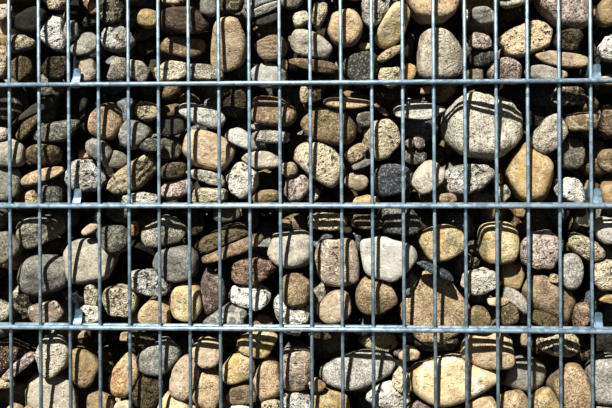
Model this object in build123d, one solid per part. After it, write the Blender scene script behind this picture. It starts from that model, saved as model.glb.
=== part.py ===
from build123d import *
import math
import os

# Gabion wall: a welded double-rod mesh basket, tied front to back by folded straps and filled with stones.
# X runs along the wall, the seen face looks along -Y, Z is up, and the origin is the middle of the footprint.

# The mesh mats, in millimetres
wire_width = 6.0            # upright wires
rod_width = 8.0             # level rods, one in front of and one behind the uprights
wire_pitch = 50.0
row_pitch = 200.0
row_count = 5
wire_overhang = 15.0        # upright wire past the lowest and the highest rods
rod_overhang = 6.0          # rod past the middle of the last upright
wire_sides = 6
rod_sides = 8

# The basket
depth = 400.0               # from the front uprights to the back uprights
end_pitches = 8             # upright spacings from an end of the wall to the nearest tie
bay_pitches = 17            # upright spacings from one tie to the next
tie_columns = 2
corner_pitch = 25.0         # from the face's uprights to the first upright of an end mat

# The tie straps
strap_thickness = 2.5
strap_height = 16.0
ear_height = 48.0           # top of the strap's ear above the middle of the rods
ear_width = 4.0             # level top of the ear, before its slope
ear_reach = 40.0            # how far behind the tab the ear's slope meets the strap
hook_drop = 6.0             # tongue below the middle of the rods
tab_width = 12.0            # tongue and tab, along the wall
tab_height = 27.0           # top of the tab above the middle of the rods
tab_shoulder = 12.0         # where the tab turns upright, above the middle of the rods
tab_corner = 3.0            # cut corners at the tab's top
fit_gap = 0.3               # play between a strap or clip and what it holds

# The corner clips
clip_thickness = 2.0
clip_height = 20.0
clip_course_step = 2        # a clip in every second course

# What follows from them
pitches_along = 2 * end_pitches + (tie_columns - 1) * bay_pitches
length_between_ends = pitches_along * wire_pitch
mat_height = (row_count - 1) * row_pitch + 2 * wire_overhang
wire_reach = wire_width / 2 / math.cos(math.pi / wire_sides)
rod_offset = (wire_width + rod_width) / 2
mat_half_thickness = wire_width / 2 + rod_width
rows = [wire_overhang + row_pitch * row for row in range(row_count)]
half_depth = depth / 2
inner_depth = depth - 2 * mat_half_thickness
face_half_length = length_between_ends / 2 + rod_overhang
end_plane = face_half_length - mat_half_thickness
tie_wires = [-length_between_ends / 2 + wire_pitch * (end_pitches + bay_pitches * column)
             for column in range(tie_columns)]
strap_left = wire_reach + fit_gap
strap_right = strap_left + strap_thickness

UP = (0, 0, 1)
ACROSS = (0, 1, 0)
ALONG = (1, 0, 0)


def bar(start, direction, length, width, sides):
    """Straight bar of a regular section, with flats facing the front and the back of its mat."""
    half_step = math.pi / sides
    radius = width / 2 / math.cos(half_step)
    corners = [(radius * math.cos(half_step * (2 * side + 1)), radius * math.sin(half_step * (2 * side + 1)))
               for side in range(sides)]
    section = Plane(origin=start, x_dir=ACROSS, z_dir=direction) * Polygon(*corners, align=None)
    return extrude(section, amount=length, dir=direction)


def mat(wire_places, half_length):
    """Welded mat standing in the XZ plane: uprights with a rod before and behind them in every row."""
    wires = [bar((place, 0, 0), UP, mat_height, wire_width, wire_sides) for place in wire_places]
    rods = [bar((-half_length, side * rod_offset, height), ALONG, 2 * half_length, rod_width, rod_sides)
            for height in rows for side in (-1, 1)]
    return wires[0].fuse(*wires[1:], *rods)


def face_mat():
    """Mat of the wall's front or back face."""
    places = [-length_between_ends / 2 + wire_pitch * number for number in range(pitches_along + 1)]
    return mat(places, face_half_length)


def end_mat():
    """Mat that closes an end, between the inner rods of the two faces."""
    span = depth - 2 * corner_pitch
    gaps = max(1, round(span / wire_pitch))
    places = [-span / 2 + span / gaps * number for number in range(gaps + 1)]
    return mat(places, inner_depth / 2)


def hook_front():
    """Front of the hook's folded edge, from between the twin rods up over the inner rod."""
    tongue_front = -half_depth + wire_width / 2 - fit_gap - strap_thickness
    tab_front = -half_depth + rod_offset - strap_thickness / 2
    return [(tongue_front, -hook_drop), (tongue_front, rod_width / 2), (tab_front, tab_shoulder)]


def strap_plate():
    """Upright plate over the inner rods, with an ear at each end and a tongue down between the twin rods."""
    face = hook_front()
    tongue_back = face[0][0] + strap_thickness
    ear_front = face[-1][0]
    rod_top = rod_width / 2
    half = [(tongue_back, rod_top), (tongue_back, -hook_drop)] + face
    half += [(ear_front, ear_height), (ear_front + ear_width, ear_height),
             (ear_front + ear_reach, rod_top + strap_height)]
    outline = half + [(-across, height) for across, height in reversed(half)]
    side = Plane(origin=(strap_left, 0, 0), x_dir=ACROSS, z_dir=ALONG) * Polygon(*outline, align=None)
    return extrude(side, amount=strap_thickness, dir=ALONG)


def hook_tab():
    """Folded end of the front hook: a tongue between the twin rods, a slope back and a free tab above them."""
    face = hook_front()
    tongue_front = face[0][0]
    tab_front = face[-1][0]
    rise = tab_shoulder - rod_width / 2
    lean = tab_front - tongue_front
    slope_shift = strap_thickness * (math.hypot(lean, rise) - rise) / lean
    back = [(tongue_front + strap_thickness, -hook_drop),
            (tongue_front + strap_thickness, rod_width / 2 - slope_shift),
            (tab_front + strap_thickness, tab_shoulder - slope_shift),
            (tab_front + strap_thickness, tab_height)]
    outline = face + [(tab_front, tab_height)] + back[::-1]
    side = Plane(origin=(strap_right, 0, 0), x_dir=ACROSS, z_dir=ALONG) * Polygon(*outline, align=None)
    strip = extrude(side, amount=tab_width, dir=ALONG)
    corners = strip.edges().filter_by(Axis.Y).group_by(Axis.Z)[-1]
    return chamfer(corners, tab_corner)


def tie_strap():
    """Whole strap at a row's height, hooked to the front mat and, turned about, to the back mat."""
    front_tab = hook_tab()
    return strap_plate().fuse(front_tab, mirror(front_tab, about=Plane.XZ))


def corner_clip():
    """Folded band round the last upright of a face and the first upright of an end mat."""
    face_wire = length_between_ends / 2
    reach = wire_reach + fit_gap
    low_x = min(face_wire, end_plane) - reach
    high_x = max(face_wire, end_plane) + reach
    low_y = -half_depth - reach
    high_y = -half_depth + corner_pitch + reach
    middle = Pos((low_x + high_x) / 2, (low_y + high_y) / 2)
    hole = middle * Rectangle(high_x - low_x, high_y - low_y)
    band = middle * Rectangle(high_x - low_x + 2 * clip_thickness, high_y - low_y + 2 * clip_thickness)
    return extrude(band - hole, amount=clip_height)


def clip_stack():
    """The clips of the corner at the wall's right front."""
    heights = [(rows[course] + rows[course + 1] - clip_height) / 2
               for course in range(0, row_count - 1, clip_course_step)]
    return Compound(children=[Pos(0, 0, height) * corner_clip() for height in heights])


def fill_block(left, right, low, high):
    """Stones of one course between two ties, taken as one mass."""
    return Pos((left + right) / 2, 0, (low + high) / 2) * Box(right - left, inner_depth, high - low)


os.makedirs("parts", exist_ok=True)

face = face_mat()
export_step(Pos(0, -half_depth, 0) * face, "parts/front_mat.step")
export_step(Pos(0, half_depth, 0) * face, "parts/back_mat.step")

end = Rot(0, 0, 90) * end_mat()
export_step(Pos(-end_plane, 0, 0) * end, "parts/left_end_mat.step")
export_step(Pos(end_plane, 0, 0) * end, "parts/right_end_mat.step")

right_front_clips = clip_stack()
left_front_clips = mirror(right_front_clips, about=Plane.YZ)
export_step(right_front_clips, "parts/right_front_clips.step")
export_step(left_front_clips, "parts/left_front_clips.step")
export_step(mirror(right_front_clips, about=Plane.XZ), "parts/right_back_clips.step")
export_step(mirror(left_front_clips, about=Plane.XZ), "parts/left_back_clips.step")

strap = tie_strap()
for column, tie_wire in enumerate(tie_wires):
    for row, height in enumerate(rows[:-1]):
        export_step(Pos(tie_wire, 0, height) * strap, f"parts/tie_strap_{column + 1}_{row + 1}.step")

fill_end = end_plane - mat_half_thickness
fill_left = [-fill_end] + [tie_wire + strap_right + fit_gap for tie_wire in tie_wires]
fill_right = [tie_wire + strap_left - fit_gap for tie_wire in tie_wires] + [fill_end]
fill_low = [0.0] + rows[1:-1]
fill_high = rows[1:-1] + [rows[-1] + rod_width / 2]
for column, (left, right) in enumerate(zip(fill_left, fill_right)):
    for course, (low, high) in enumerate(zip(fill_low, fill_high)):
        block = fill_block(left, right, low, high)
        export_step(block, f"parts/stone_fill_{column + 1}_{course + 1}.step")
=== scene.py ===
# Gabion wall: the galvanised rods, wires, straps and clips, and the stones that fill the basket.
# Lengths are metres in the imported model's frame: X along the wall, the seen face looks along -Y, Z is up.
import bmesh
import bpy
import math
import numpy as np
from mathutils import Matrix, Vector


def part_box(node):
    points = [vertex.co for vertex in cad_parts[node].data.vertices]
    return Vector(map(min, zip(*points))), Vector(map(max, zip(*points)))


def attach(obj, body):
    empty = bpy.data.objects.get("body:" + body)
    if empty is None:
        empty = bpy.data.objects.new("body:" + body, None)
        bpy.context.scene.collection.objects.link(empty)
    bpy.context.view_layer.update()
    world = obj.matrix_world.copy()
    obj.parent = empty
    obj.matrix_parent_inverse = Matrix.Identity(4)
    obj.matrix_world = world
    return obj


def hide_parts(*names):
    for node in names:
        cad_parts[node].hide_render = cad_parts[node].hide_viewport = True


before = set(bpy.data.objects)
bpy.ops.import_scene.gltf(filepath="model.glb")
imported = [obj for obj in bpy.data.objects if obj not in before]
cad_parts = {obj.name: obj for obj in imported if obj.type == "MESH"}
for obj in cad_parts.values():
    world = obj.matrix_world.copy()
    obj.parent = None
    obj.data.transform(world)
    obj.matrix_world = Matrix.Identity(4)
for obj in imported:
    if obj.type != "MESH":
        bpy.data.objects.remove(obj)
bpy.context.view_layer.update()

# The basket's mesh, as the construction has it
wire_width = 0.006
rod_width = 0.008
wire_pitch = 0.050
wire_count = 34
row_pitch = 0.200
row_count = 5
wire_overhang = 0.015       # upright wire past the lowest and the highest rods
half_depth = 0.200          # from the middle to the uprights of the front and the back
half_length = 0.825         # from the middle to the last uprights
end_mat_plane = 0.820
end_mat_places = [-0.175, -0.125, -0.075, -0.025, 0.025, 0.075, 0.125, 0.175]
tie_places = [-0.425, 0.425]
rod_offset = (wire_width + rod_width) / 2
rows = [wire_overhang + row_pitch * row for row in range(row_count)]
wire_places = [wire_pitch * place - half_length for place in range(wire_count)]
mat_top = rows[-1] + wire_overhang
inner_half_depth = half_depth - wire_width / 2 - rod_width
inner_half_length = 0.809
fill_top = 0.819

# The photograph's camera, set back to the wall's real size
photo_width = 612
sensor_width = 36.0
focal_pixels = 793.5
horizon_above_middle = 110      # pixels
camera_place = Vector((0.0304, -1.4927, 0.5968))
camera_yaw = math.radians(-2.76)
camera_roll = math.radians(-0.39)

camera_level = Vector((math.cos(camera_yaw), -math.sin(camera_yaw), 0))
camera_forward = Vector((math.sin(camera_yaw), math.cos(camera_yaw), 0))
camera_right = camera_level * math.cos(camera_roll) + Vector((0, 0, math.sin(camera_roll)))
camera_up = Vector((0, 0, math.cos(camera_roll))) - camera_level * math.sin(camera_roll)


def place_camera():
    camera = bpy.data.cameras.new("camera")
    camera.sensor_fit = "HORIZONTAL"
    camera.sensor_width = sensor_width
    camera.lens = sensor_width * focal_pixels / photo_width
    camera.shift_y = -horizon_above_middle / photo_width
    camera.clip_start = 0.02
    holder = bpy.data.objects.new("camera", camera)
    bpy.context.scene.collection.objects.link(holder)
    turn = Matrix((camera_right, camera_up, -camera_forward)).transposed()
    holder.matrix_world = Matrix.Translation(camera_place) @ turn.to_4x4()
    bpy.context.scene.camera = holder


def place_sun(name, travel, strength, softness, colour):
    """A sun whose light travels this way, with a disc this many degrees wide"""
    sun = bpy.data.lights.new(name, "SUN")
    sun.energy = strength
    sun.angle = math.radians(softness)
    sun.color = colour
    holder = bpy.data.objects.new(name, sun)
    holder.rotation_euler = Vector(travel).to_track_quat("-Z", "Y").to_euler()
    bpy.context.scene.collection.objects.link(holder)


def place_lights():
    place_sun("front_key", travel=(0.35, 1.0, -1.15), strength=5.4, softness=1.0, colour=(1.0, 0.98, 0.93))
    place_sun("front_fill", travel=(0.1, 1.0, -0.5), strength=0.38, softness=110, colour=(0.88, 0.94, 1.0))
    place_sun("back_key", travel=(-0.45, -1.0, -0.8), strength=2.6, softness=25.0, colour=(1.0, 0.98, 0.95))
    world = bpy.data.worlds.new("studio")
    world.use_nodes = True
    background = world.node_tree.nodes["Background"]
    background.inputs["Color"].default_value = (0.86, 0.91, 1.0, 1)
    background.inputs["Strength"].default_value = 0.75
    world.cycles_visibility.diffuse = False
    bpy.context.scene.world = world
    bpy.context.scene.view_settings.view_transform = "Standard"
    bpy.context.scene.view_settings.look = "High Contrast"


# Shader values: sums of them add their own nodes

class Value:
    """A number that varies over a surface"""

    def __init__(self, look, socket):
        self.look = look
        self.socket = socket

    def sum_with(self, operation, first, second):
        return self.look.node("Math", {"operation": operation}, [first, second])

    def __add__(self, other):
        return self.sum_with("ADD", self, other)

    def __radd__(self, other):
        return self.sum_with("ADD", other, self)

    def __sub__(self, other):
        return self.sum_with("SUBTRACT", self, other)

    def __rsub__(self, other):
        return self.sum_with("SUBTRACT", other, self)

    def __mul__(self, other):
        return self.sum_with("MULTIPLY", self, other)

    def __rmul__(self, other):
        return self.sum_with("MULTIPLY", other, self)

    def __abs__(self):
        return self.look.node("Math", {"operation": "ABSOLUTE"}, [self])


class Look:
    """A material and the nodes that make it up"""

    def __init__(self, name):
        self.material = bpy.data.materials.new(name)
        self.material.use_nodes = True
        self.tree = self.material.node_tree
        self.tree.nodes.clear()

    def node(self, kind, settings, values, output=0):
        """A node of this type, with its settings and the values or links of its sockets"""
        made = self.tree.nodes.new("ShaderNode" + kind)
        for name, setting in settings.items():
            setattr(made, name, setting)
        places = values.items() if isinstance(values, dict) else enumerate(values)
        for place, value in places:
            socket = self.socket(made.inputs, place)
            if isinstance(value, Value):
                self.tree.links.new(value.socket, socket)
            else:
                socket.default_value = value
        return Value(self, self.socket(made.outputs, output))

    def socket(self, sockets, place):
        if isinstance(place, int):
            return sockets[place]
        return next(socket for socket in sockets if place in (socket.identifier, socket.name))

    def mix(self, amount, first, second):
        """First colour where the amount is 0, second where it is 1"""
        sockets = {"Factor_Float": amount, "A_Color": first, "B_Color": second}
        return self.node("Mix", {"data_type": "RGBA"}, sockets, "Result_Color")

    def step(self, value, low, high):
        """0 below the low level, 1 above the high one, smooth between"""
        values = {"Value": value, "From Min": low, "From Max": high}
        return self.node("MapRange", {"interpolation_type": "SMOOTHSTEP"}, values, "Result")

    def finish(self, colour, roughness, height, depth, **constants):
        """The whole material, its relief this deep in metres where the height runs from 0 to 1"""
        normal = self.node("Bump", {}, {"Height": height, "Distance": depth, "Strength": 1.0}, "Normal")
        sockets = {"Base Color": colour, "Roughness": roughness, "Normal": normal, **constants}
        shader = self.node("BsdfPrincipled", {}, sockets, "BSDF")
        end = self.tree.nodes.new("ShaderNodeOutputMaterial")
        self.tree.links.new(shader.socket, end.inputs["Surface"])
        return self.material


def shade(red, green, blue):
    """A colour as the eye reads it on a screen, 0 to 255, as a shader's colour"""
    levels = [channel / 255 for channel in (red, green, blue)]
    linear = [level / 12.92 if level < 0.04045 else ((level + 0.055) / 1.055) ** 2.4 for level in levels]
    return (*linear, 1)


# Galvanised steel

zinc_relief = 0.0003


def galvanised(name, dark, light, roughness, spangle):
    """Zinc with its crystals, about this many to the metre, under soft clouds and a fine grit"""
    look = Look(name)
    place = look.node("TexCoord", {}, {}, "Object")
    cloud = look.node("TexNoise", {}, {"Vector": place, "Scale": 45.0, "Detail": 4.0})
    crystals = look.node("TexVoronoi", {}, {"Vector": place, "Scale": spangle, "Randomness": 1.0}, "Color")
    crystal = look.node("SeparateColor", {}, [crystals], "Red")
    grit = look.node("TexNoise", {}, {"Vector": place, "Scale": 900.0, "Detail": 2.0})
    amount = look.step(cloud * 0.25 + crystal * 0.35 + grit * 0.4, 0.22, 0.78)
    colour = look.mix(amount, dark, light)
    height = grit * 0.7 + cloud * 0.3
    return look.finish(colour, roughness + 0.12 * crystal, height, zinc_relief, Metallic=0.3)


# Stone kinds. Each stone carries its own "grain" coordinates, in its own axes, a "tone" from 0, dark, to 1,
# light, which is partly its own colour and partly painted shade for stones that lie in shade, and a "mood"
# from 0 to 1 that gives stones of one kind more or less of what sets them apart.

stone_muting = 0.2          # of every stone colour's strength
stone_gloss = 0.32
cloud_size = 0.022          # sizes in metres: of the soft clouds, the coarse and the fine grit,
coarse_size = 0.0058
fine_size = 0.0021
dot_size = 0.0042           # of the round grains,
pitted_size = 0.030         # of the areas that have pits,
bend_size = 0.035           # and of the bends in bands, with how far they reach
bend_reach = 0.020
wave_pitch = 0.314          # of the wave texture's bands where its scale is 1
vein_width = 0.014          # of the noise's range
tint_levels = (0.45, 1.0)   # levels between which a thing comes in: of the mood,
vein_levels = (0.95, 1.1)
patch_levels = (0.48, 0.57)     # and of the noise
speck_levels = (0.55, 0.66)
dot_levels = (0.18, 0.34)
dotted_levels = (0.36, 0.5)
pit_levels = (0.57, 0.68)
pitted_levels = (0.40, 0.56)
pit_shadow = 0.22           # of the dark colour
lightness_shares = (0.3, 0.6, 0.1)


class StoneLook(Look):

    def __init__(self, name):
        super().__init__(name)
        self.grain = self.node("Attribute", {"attribute_name": "grain"}, {}, "Vector")
        self.tone = self.node("Attribute", {"attribute_name": "tone"}, {}, "Fac")
        self.mood = self.node("Attribute", {"attribute_name": "mood"}, {}, "Fac")

    def noise(self, size, detail=2.0, output=0):
        """Soft blotches of this size"""
        return self.node("TexNoise", {}, {"Vector": self.grain, "Scale": 1 / size, "Detail": detail}, output)

    def blots(self, size, low, high):
        """1 in ragged spots of about this size, 0 between them"""
        return self.step(self.noise(size, 3.0), low, high)

    def spots(self, size, low, high):
        """1 in small round grains, 0 between them"""
        cells = self.node("TexVoronoi", {}, {"Vector": self.grain, "Scale": 1 / size}, "Distance")
        return 1 - self.step(cells, low, high)

    def lines(self, size, width):
        """1 along thin wandering lines, 0 away from them"""
        return 1 - self.step(abs(self.noise(size, 3.0) - 0.5), width * 0.35, width)

    def bent_grain(self, size, amount):
        """The grain coordinates, pushed about by soft blotches of this size"""
        push = self.noise(size, 3.0, "Color")
        amounts = (amount,) * 3
        return self.node("VectorMath", {"operation": "MULTIPLY_ADD"}, [push, amounts, self.grain])

    def layers(self, thickness):
        """Bands across the stone, light and dark by turns"""
        settings = {"wave_type": "BANDS", "bands_direction": "Z", "wave_profile": "SIN"}
        values = {"Vector": self.bent_grain(bend_size, bend_reach), "Scale": wave_pitch / thickness,
                  "Distortion": 3.0, "Detail": 3.0, "Detail Scale": 1.5}
        return self.node("TexWave", settings, values, "Fac")


def muted(colour):
    level = sum(share * channel for share, channel in zip(lightness_shares, colour))
    return tuple(channel + (level - channel) * stone_muting for channel in colour[:3]) + (1,)


def stone(name, dark, light, tint, blotch=0.6, grit=0.6, speck=0.4, speck_colour=None, speck_size=0.0038,
          dots=0.0, pits=0.25, pit_size=0.007, veins=0.3, vein_colour=None, vein_size=0.05, bands=0.0,
          band_size=0.010, patches=0.0, patch_colour=None, patch_size=0.02, roughness=0.72, bump=0.0025):
    """A kind of stone, from dark to light by its tone, and nearer the tint the higher its mood. Blotch, grit,
    speck, dots, pits, veins, bands and patches say how strongly each of them shows, from 0 to 1, and bump how
    deep the relief is in metres."""
    look = StoneLook(name)
    dark, light, tint = muted(dark), muted(light), muted(tint)
    cloud = look.noise(cloud_size, 4.0)
    coarse = look.noise(coarse_size, 3.0)
    fine = look.noise(fine_size, 2.0)
    level = look.tone * 0.8 + (cloud - 0.5) * (1.7 * blotch)
    level = level + (coarse - 0.5) * (1.6 * grit) + (fine - 0.5) * (3 * grit)
    colour = look.mix(look.step(level + 0.10, 0.0, 1.0), dark, light)
    colour = look.mix(look.step(look.mood + (cloud - 0.5) * 0.8, *tint_levels) * 0.7, colour, tint)
    height = cloud * 0.4 + coarse * 0.6 + fine * 0.5
    if bands:
        layer = look.layers(band_size)
        colour = look.mix((1 - layer) * bands, colour, dark)
        height = height + layer * (0.3 * bands)
    if patches:
        patch = look.step(look.noise(patch_size, 4.0), *patch_levels) * patches
        colour = look.mix(patch, colour, patch_colour)
    if speck:
        specks = look.blots(speck_size, *speck_levels)
        colour = look.mix(specks * speck, colour, speck_colour or dark)
    if dots:
        dot = look.spots(dot_size, *dot_levels) * look.step(coarse, *dotted_levels)
        colour = look.mix(dot * dots, colour, speck_colour)
    if veins:
        vein = look.lines(vein_size, vein_width) * look.step(look.mood + cloud * 0.5, *vein_levels)
        colour = look.mix(vein * veins, colour, vein_colour or shade(226, 220, 204))
    if pits:
        pit = look.blots(pit_size, *pit_levels) * look.step(look.noise(pitted_size, 2.0), *pitted_levels)
        shadow = tuple(channel * pit_shadow for channel in dark[:3]) + (1,)
        colour = look.mix(pit * (0.9 * pits), colour, shadow)
        height = height - pit * (1.6 * pits)
    gloss = {"Specular IOR Level": stone_gloss}
    return look.finish(colour, roughness + 0.15 * fine, height, bump, **gloss)


def stone_finishes():
    """The kinds of stone. The meshes take their material slots in this order."""
    ash = shade(188, 183, 168)
    soot = shade(44, 42, 37)
    return {
        "tan": stone("tan_stone", shade(106, 90, 67), shade(200, 175, 137), shade(184, 166, 140)),
        "cream": stone("cream_stone", shade(112, 103, 82), shade(216, 203, 172), shade(203, 179, 138),
                       speck=0.5, pits=0.7, grit=0.8, roughness=0.8, bump=0.0090),
        "chalk": stone("chalk_stone", shade(122, 119, 111), shade(233, 230, 222), shade(216, 207, 186),
                       speck=0.25, speck_colour=soot, pits=0.8, pit_size=0.008, patches=0.3,
                       patch_colour=shade(200, 184, 150), bump=0.0085),
        "grey": stone("grey_stone", shade(58, 57, 51), shade(148, 144, 131), shade(128, 118, 95),
                      speck_colour=ash),
        "black": stone("black_stone", shade(26, 25, 23), shade(80, 76, 67), shade(68, 60, 46)),
        "pale": stone("pale_stone", shade(112, 109, 101), shade(194, 190, 180), shade(180, 169, 147),
                      speck_colour=shade(98, 94, 82)),
        "ochre": stone("ochre_stone", shade(118, 90, 55), shade(209, 176, 126), shade(196, 174, 136),
                       blotch=0.9, patches=0.4, patch_colour=ash),
        "rose": stone("rose_stone", shade(96, 81, 73), shade(199, 182, 170), shade(168, 150, 126),
                      speck=0.5, blotch=0.9, grit=0.8, pits=0.5, veins=0.7, vein_size=0.035, bump=0.0040),
        "slate": stone("slate_stone", shade(62, 66, 70), shade(160, 165, 168), shade(142, 136, 122),
                       speck_colour=shade(200, 200, 195), bands=0.3),
        "veined": stone("veined_stone", shade(22, 21, 20), shade(92, 87, 78), shade(72, 67, 56),
                        veins=0.9, vein_colour=shade(218, 210, 192), vein_size=0.022, patches=0.7,
                        patch_size=0.009, patch_colour=shade(150, 142, 122), pits=0.6, grit=0.8, bump=0.0100),
        "granite": stone("granite_stone", shade(106, 101, 89), shade(201, 194, 174), shade(184, 170, 144),
                         dots=0.7, speck_size=0.005, speck_colour=soot, bump=0.0036),
        "brown": stone("brown_stone", shade(42, 36, 26), shade(120, 106, 78), shade(90, 82, 60),
                       speck=0.5, speck_colour=shade(140, 126, 96), pits=0.5, grit=0.7, bump=0.0060),
        "rust": stone("rust_stone", shade(56, 43, 34), shade(152, 127, 107), shade(134, 110, 90),
                      speck=0.6, speck_colour=shade(202, 176, 148), grit=0.9, pits=0.6, bump=0.0080),
        "straw": stone("straw_stone", shade(122, 108, 76), shade(208, 192, 150), shade(191, 174, 130),
                       blotch=0.8, patches=0.45, patch_colour=shade(190, 160, 106)),
        "amber": stone("amber_stone", shade(120, 90, 46), shade(196, 160, 94), shade(186, 158, 104),
                       blotch=0.9, patches=0.3, patch_colour=ash, patch_size=0.012),
        "umber": stone("umber_stone", shade(74, 62, 42), shade(158, 136, 96), shade(136, 116, 80),
                       speck_colour=ash),
        "banded": stone("banded_stone", shade(80, 67, 51), shade(172, 150, 117), shade(134, 119, 98),
                        bands=0.45, band_size=0.007, veins=0.1),
        "block": stone("block_stone", shade(148, 146, 139), shade(203, 201, 194), shade(190, 185, 173),
                       blotch=0.4, speck=0.2, bump=0.0020),
        "sandstone": stone("sandstone", shade(150, 117, 76), shade(211, 180, 133), shade(205, 187, 150),
                           blotch=1.0, veins=0.8, vein_colour=shade(238, 232, 218), vein_size=0.08,
                           patches=0.6, patch_colour=shade(214, 200, 164), patch_size=0.05, bump=0.0030),
    }


# Meshes from arrays

def make_mesh(name, points, faces, materials, face_materials=None, values=None):
    """A smooth mesh of four-sided faces"""
    mesh = bpy.data.meshes.new(name)
    mesh.vertices.add(len(points))
    mesh.vertices.foreach_set("co", points.astype(np.float32).ravel())
    mesh.loops.add(4 * len(faces))
    mesh.loops.foreach_set("vertex_index", faces.astype(np.int32).ravel())
    mesh.polygons.add(len(faces))
    mesh.polygons.foreach_set("loop_start", np.arange(0, 4 * len(faces), 4, dtype=np.int32))
    for material in materials:
        mesh.materials.append(material)
    if face_materials is not None:
        mesh.polygons.foreach_set("material_index", face_materials.astype(np.int32))
    mesh.update(calc_edges=True)
    for label, (form, field, numbers) in (values or {}).items():
        attribute = mesh.attributes.new(label, form, "POINT")
        attribute.data.foreach_set(field, numbers.astype(np.float32).ravel())
    mesh.shade_smooth()
    holder = bpy.data.objects.new(name, mesh)
    bpy.context.scene.collection.objects.link(holder)
    return holder


def unit(vector):
    return vector / np.linalg.norm(vector)


def units(vectors):
    return vectors / np.linalg.norm(vectors, axis=1)[:, None]


balls = {}


def ball(cuts):
    """Points one unit from the middle and the faces between them, from a cube with this many cuts a side"""
    if cuts in balls:
        return balls[cuts]
    steps = np.tan(np.linspace(-1, 1, cuts + 1) * math.pi / 4)
    numbers = {}
    points = []
    faces = []
    for axis in range(3):
        for side in (-1, 1):
            grid = np.empty((cuts + 1, cuts + 1), int)
            for row, up in enumerate(steps):
                for column, along in enumerate(steps):
                    point = np.empty(3)
                    point[axis] = side
                    point[(axis + 1) % 3] = along
                    point[(axis + 2) % 3] = up
                    key = tuple(np.round(point, 5))
                    if key not in numbers:
                        numbers[key] = len(points)
                        points.append(unit(point))
                    grid[row, column] = numbers[key]
            corners = [grid[:-1, :-1], grid[:-1, 1:], grid[1:, 1:], grid[1:, :-1]]
            quads = np.stack([corner.ravel() for corner in corners], axis=1)
            faces.append(quads if side > 0 else quads[:, ::-1])
    balls[cuts] = np.array(points), np.concatenate(faces)
    return balls[cuts]


class Heap:
    """Many small bodies that are joined into one mesh"""

    def __init__(self):
        self.points = []
        self.faces = []
        self.count = 0

    def add(self, points, faces):
        self.points.append(points)
        self.faces.append(faces + self.count)
        self.count += len(points)

    def make(self, name, materials, face_materials=None, values=None):
        points = np.concatenate(self.points)
        faces = np.concatenate(self.faces)
        return make_mesh(name, points, faces, materials, face_materials, values)


# The mesh mats

bar_sides = 12
cut_bevel = 0.0006
weld_half = (0.0046, 0.0024, 0.0046)
along_no_bar = (0.3, 0.5, 0.8)


def bar(heap, start, end, width):
    """A round bar with slightly bevelled cut ends"""
    start = np.array(start)
    end = np.array(end)
    length = np.linalg.norm(end - start)
    direction = (end - start) / length
    sideways = unit(np.cross(direction, along_no_bar))
    other = np.cross(direction, sideways)
    angles = np.arange(bar_sides) * 2 * math.pi / bar_sides
    circle = np.outer(np.cos(angles), sideways) + np.outer(np.sin(angles), other)
    rings = []
    for distance, radius in ((0, width / 2 - cut_bevel), (cut_bevel, width / 2),
                             (length - cut_bevel, width / 2), (length, width / 2 - cut_bevel)):
        rings.append(start + direction * distance + circle * radius)
    faces = []
    for ring in range(len(rings) - 1):
        for side in range(bar_sides):
            after = (side + 1) % bar_sides
            first = ring * bar_sides
            faces.append((first + side, first + after, first + bar_sides + after, first + bar_sides + side))
    last = (len(rings) - 1) * bar_sides
    for strip in range(bar_sides // 2 - 1):
        cap = (strip, strip + 1, bar_sides - 2 - strip, bar_sides - 1 - strip)
        faces.append(tuple(reversed(cap)))
        faces.append(tuple(last + corner for corner in cap))
    heap.add(np.concatenate(rings), np.array(faces))


def weld(heap, place, along, through):
    """The small squashed bead where a wire is welded to a rod"""
    points, faces = ball(2)
    frame_axes = np.array((along, through, (0, 0, 1)))
    heap.add(np.array(place) + points * weld_half @ frame_axes, faces)


def welded_mat(node, along, through, plane, places, finish):
    """Upright wires at these places along a plane, with a rod before and behind them in every row"""
    low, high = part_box(node)
    along = np.array(along)
    through = np.array(through)
    start = np.array(low) @ along
    end = np.array(high) @ along
    up = np.array((0, 0, 1))
    heap = Heap()
    for place in places:
        foot = along * place + through * plane
        bar(heap, foot, foot + up * mat_top, wire_width)
    for row in rows:
        for side in (-1, 1):
            middle = through * (plane + side * rod_offset) + up * row
            bar(heap, middle + along * start, middle + along * end, rod_width)
            for place in places:
                bead = through * (plane + side * wire_width / 2) + along * place + up * row
                weld(heap, bead, along, through)
    made = heap.make(node + "_bars", [finish])
    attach(made, "root")
    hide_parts(node)


def welded_mats(finish):
    across = (1, 0, 0)
    inward = (0, 1, 0)
    welded_mat("front_mat", across, inward, -half_depth, wire_places, finish)
    welded_mat("back_mat", across, inward, half_depth, wire_places, finish)
    welded_mat("left_end_mat", inward, across, -end_mat_plane, end_mat_places, finish)
    welded_mat("right_end_mat", inward, across, end_mat_plane, end_mat_places, finish)


# The stones

angular_kinds = ["veined", "block", "sandstone"]        # broken, with sharp rims
rough_kinds = ["chalk", "cream", "granite", "veined", "rose", "brown", "rust"]      # with high lumps
craggy_kinds = ["chalk", "veined", "rust"]              # with fine crags as well

# Crossings of wires and rods as the photograph shows them: pixels across and down, metres along and up
crossings = [
    {"x": 9.0, "y": 84.8, "along": -0.525, "up": 0.615},
    {"x": 591.5, "y": 82.8, "along": 0.425, "up": 0.615},
    {"x": 10.5, "y": 322.4, "along": -0.525, "up": 0.215},
    {"x": 593.3, "y": 328.0, "along": 0.425, "up": 0.215},
]


def photo_to_face():
    """The perspective numbers that take the photograph's pixels to the plane of the front wires"""
    rows_of_sums = []
    results = []
    for crossing in crossings:
        x, y, along, up = crossing.values()
        rows_of_sums.append((x, y, 1, 0, 0, 0, -along * x, -along * y))
        rows_of_sums.append((0, 0, 0, x, y, 1, -up * x, -up * y))
        results += [along, up]
    return np.linalg.solve(rows_of_sums, results)


perspective = photo_to_face()


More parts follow.
